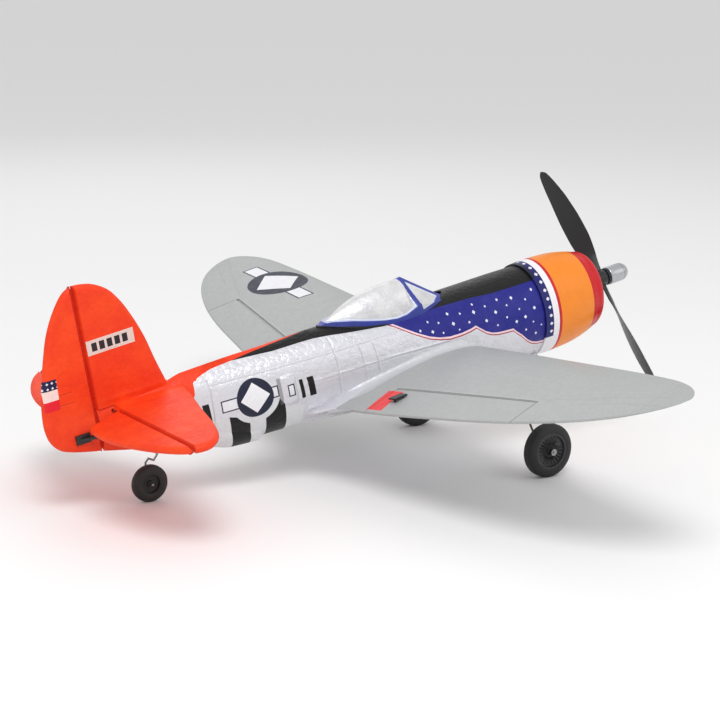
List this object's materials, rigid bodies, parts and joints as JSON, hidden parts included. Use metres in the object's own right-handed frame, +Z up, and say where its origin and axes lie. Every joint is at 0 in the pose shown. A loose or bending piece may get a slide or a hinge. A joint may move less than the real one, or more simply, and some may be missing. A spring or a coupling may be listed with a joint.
{
  "type": "radio-controlled foam aeroplane",
  "caption": "Micro radio-controlled foam aeroplane: low-wing radial-nosed warbird on a wire tail-dragger undercarriage, with geared propeller and hinged control surfaces.",
  "frame": {"origin": "on the ground plane under the three tyres, at the middle of the overall length and span (bottom centre of the bounding box)", "axes": "+X forward towards the propeller, +Y to port (the span), +Z up; the aircraft sits nose-up by 11.07 degrees on its three wheels"},
  "size_m": [0.3438, 0.4, 0.1405],
  "materials": {
    "foam_silver": "painted silver bead foam, satin",
    "foam_grey": "painted grey-silver bead foam, satin",
    "foam_orange": "painted orange bead foam, satin",
    "foam_cowl": "painted orange and red bead foam, satin",
    "black_plastic": "moulded black nylon",
    "black_tyre": "matt black moulded tyre",
    "steel_wire": "bright spring wire",
    "brass_parts": "turned brass",
    "nylon_white": "moulded white nylon",
    "servo_blue": "moulded blue case",
    "motor_steel": "plated steel can",
    "satin_aluminium": "satin silver",
    "plywood": "birch plywood",
    "circuit_board": "green solder mask",
    "battery_wrap": "shrink wrap",
    "wire_insulation": "silicone insulation",
    "glass_fibre": "glass-fibre rod",
    "clear_sheet": "clear plastic sheet"
  },
  "bodies": {
    "airframe": {"fuselage_left": "foam_silver", "fuselage_right": "foam_silver", "cowl": "foam_cowl", "firewall": "plywood", "motor_frame": "black_plastic", "motor_frame_screws": "steel_wire", "shaft_bushes": "brass_parts", "motor_can": "motor_steel", "motor_end_cap": "nylon_white", "canopy": "foam_silver", "wing_left": "foam_grey", "wing_right": "foam_grey", "wing_joiner": "glass_fibre", "stabiliser": "foam_orange", "fin": "foam_orange", "receiver_board": "circuit_board", "battery": "battery_wrap", "wiring": "wire_insulation", "rudder_servo": "servo_blue", "elevator_servo": "servo_blue", "aileron_servo_left": "servo_blue", "aileron_servo_right": "servo_blue", "gear_seat_left": "black_plastic", "gear_seat_right": "black_plastic", "gear_leg_left": "steel_wire", "gear_leg_right": "steel_wire", "wheel_collars": "steel_wire", "tail_leg_bush": "brass_parts"},
    "prop": {"propeller": "black_plastic", "spinner_nut": "satin_aluminium", "prop_shaft": "steel_wire", "spur_gear": "nylon_white"},
    "rotor": {"motor_rotor": "motor_steel", "pinion": "brass_parts"},
    "hatch": {"battery_hatch": "foam_silver", "hatch_pull_tab": "clear_sheet"},
    "aileron_left_body": {"aileron_left": "foam_grey", "aileron_horn_left": "black_plastic"},
    "aileron_right_body": {"aileron_right": "foam_grey", "aileron_horn_right": "black_plastic"},
    "aileron_arm_left_body": {"aileron_servo_arm_left": "nylon_white"},
    "aileron_arm_right_body": {"aileron_servo_arm_right": "nylon_white"},
    "aileron_rod_left_body": {"aileron_rod_left": "steel_wire"},
    "aileron_rod_right_body": {"aileron_rod_right": "steel_wire"},
    "elevator_body": {"elevator_left": "foam_orange", "elevator_right": "foam_orange", "elevator_torque_wire": "steel_wire", "elevator_horn": "black_plastic"},
    "elevator_arm_body": {"elevator_servo_arm": "nylon_white"},
    "elevator_rod_body": {"elevator_rod": "steel_wire"},
    "rudder_body": {"rudder": "foam_orange", "rudder_horn": "black_plastic"},
    "rudder_arm_body": {"rudder_servo_arm": "nylon_white"},
    "rudder_rod_body": {"rudder_rod": "steel_wire"},
    "wheel_left_body": {"tyre_left": "black_tyre", "wheel_hub_left": "black_plastic"},
    "wheel_right_body": {"tyre_right": "black_tyre", "wheel_hub_right": "black_plastic"},
    "tail_leg_body": {"tail_leg": "steel_wire"},
    "tail_wheel_body": {"tail_wheel": "black_tyre"}
  },
  "joints": [
    {"name": "prop_spin", "type": "hinge", "parent": "airframe", "child": "prop", "pos_m": [0.1565, 0, 0.08634], "axis": [0.9814, 0, 0.1919], "continuous": true},
    {"name": "motor_spin", "type": "hinge", "parent": "airframe", "child": "rotor", "pos_m": [0.1588, 0, 0.07457], "axis": [0.9814, 0, 0.1919], "continuous": true},
    {"name": "hatch_drop", "type": "slide", "parent": "airframe", "child": "hatch", "axis": [0.1919, 0, -0.9814], "range_m": [0, 0.025]},
    {"name": "aileron_left_hinge", "type": "hinge", "parent": "airframe", "child": "aileron_left_body", "pos_m": [-0.0061, 0.043, 0.04873], "axis": [0.1195, 0.983, 0.1394], "range_deg": [-20, 20]},
    {"name": "aileron_right_hinge", "type": "hinge", "parent": "airframe", "child": "aileron_right_body", "pos_m": [-0.0061, -0.043, 0.04873], "axis": [-0.1195, 0.983, -0.1394], "range_deg": [-20, 20]},
    {"name": "aileron_servo_left_shaft", "type": "hinge", "parent": "airframe", "child": "aileron_arm_left_body", "pos_m": [0.03226, 0.04856, 0.05689], "axis": [0.1195, 0.983, 0.1394], "range_deg": [-20, 20]},
    {"name": "aileron_rod_left_pin", "type": "hinge", "parent": "aileron_arm_left_body", "child": "aileron_rod_left_body", "pos_m": [0.03379, 0.04948, 0.04909], "axis": [0.1195, 0.983, 0.1394], "range_deg": [-20, 20]},
    {"name": "aileron_servo_right_shaft", "type": "hinge", "parent": "airframe", "child": "aileron_arm_right_body", "pos_m": [0.03226, -0.04856, 0.05689], "axis": [-0.1195, 0.983, -0.1394], "range_deg": [-20, 20]},
    {"name": "aileron_rod_right_pin", "type": "hinge", "parent": "aileron_arm_right_body", "child": "aileron_rod_right_body", "pos_m": [0.03379, -0.04948, 0.04909], "axis": [-0.1195, 0.983, -0.1394], "range_deg": [-20, 20]},
    {"name": "elevator_hinge", "type": "hinge", "parent": "airframe", "child": "elevator_body", "pos_m": [-0.13749, 0, 0.04739], "axis": [0, 1, 0], "range_deg": [-20, 20]},
    {"name": "elevator_servo_shaft", "type": "hinge", "parent": "airframe", "child": "elevator_arm_body", "pos_m": [0.00067, 0, 0.05994], "axis": [0, 1, 0], "range_deg": [-20, 20]},
    {"name": "elevator_rod_pin", "type": "hinge", "parent": "elevator_arm_body", "child": "elevator_rod_body", "pos_m": [0.00201, 0, 0.05307], "axis": [0, 1, 0], "range_deg": [-20, 20]},
    {"name": "rudder_hinge", "type": "hinge", "parent": "airframe", "child": "rudder_body", "pos_m": [-0.14569, 0, 0.04762], "axis": [-0.1919, 0, 0.9814], "range_deg": [-25, 25]},
    {"name": "rudder_servo_shaft", "type": "hinge", "parent": "airframe", "child": "rudder_arm_body", "pos_m": [-0.0302, 0, 0.05105], "axis": [-0.1919, 0, 0.9814], "range_deg": [-25, 25]},
    {"name": "rudder_rod_pin", "type": "hinge", "parent": "rudder_arm_body", "child": "rudder_rod_body", "pos_m": [-0.0302, -0.007, 0.05105], "axis": [-0.1919, 0, 0.9814], "range_deg": [-25, 25]},
    {"name": "wheel_left_spin", "type": "hinge", "parent": "airframe", "child": "wheel_left_body", "pos_m": [0.07537, 0.05795, 0.01374], "axis": [0, 1, 0], "continuous": true},
    {"name": "wheel_right_spin", "type": "hinge", "parent": "airframe", "child": "wheel_right_body", "pos_m": [0.07537, -0.05795, 0.01374], "axis": [0, 1, 0], "continuous": true},
    {"name": "tail_swivel", "type": "hinge", "parent": "airframe", "child": "tail_leg_body", "pos_m": [-0.11478, 0, 0.02819], "axis": [-0.1919, 0, 0.9814], "range_deg": [-35, 35]},
    {"name": "tail_wheel_spin", "type": "hinge", "parent": "tail_leg_body", "child": "tail_wheel_body", "pos_m": [-0.11778, 0, 0.009], "axis": [0, 1, 0], "continuous": true}
  ],
  "couplings": [
    {"joint": "motor_spin", "follows": "prop_spin", "ratio": -4},
    {"joint": "aileron_servo_left_shaft", "follows": "aileron_left_hinge", "ratio": 1},
    {"joint": "aileron_rod_left_pin", "follows": "aileron_left_hinge", "ratio": -1},
    {"joint": "aileron_right_hinge", "follows": "aileron_left_hinge", "ratio": -1},
    {"joint": "aileron_servo_right_shaft", "follows": "aileron_left_hinge", "ratio": -1},
    {"joint": "aileron_rod_right_pin", "follows": "aileron_left_hinge", "ratio": 1},
    {"joint": "elevator_servo_shaft", "follows": "elevator_hinge", "ratio": 1},
    {"joint": "elevator_rod_pin", "follows": "elevator_hinge", "ratio": -1},
    {"joint": "rudder_servo_shaft", "follows": "rudder_hinge", "ratio": 1},
    {"joint": "rudder_rod_pin", "follows": "rudder_hinge", "ratio": -1}
  ]
}
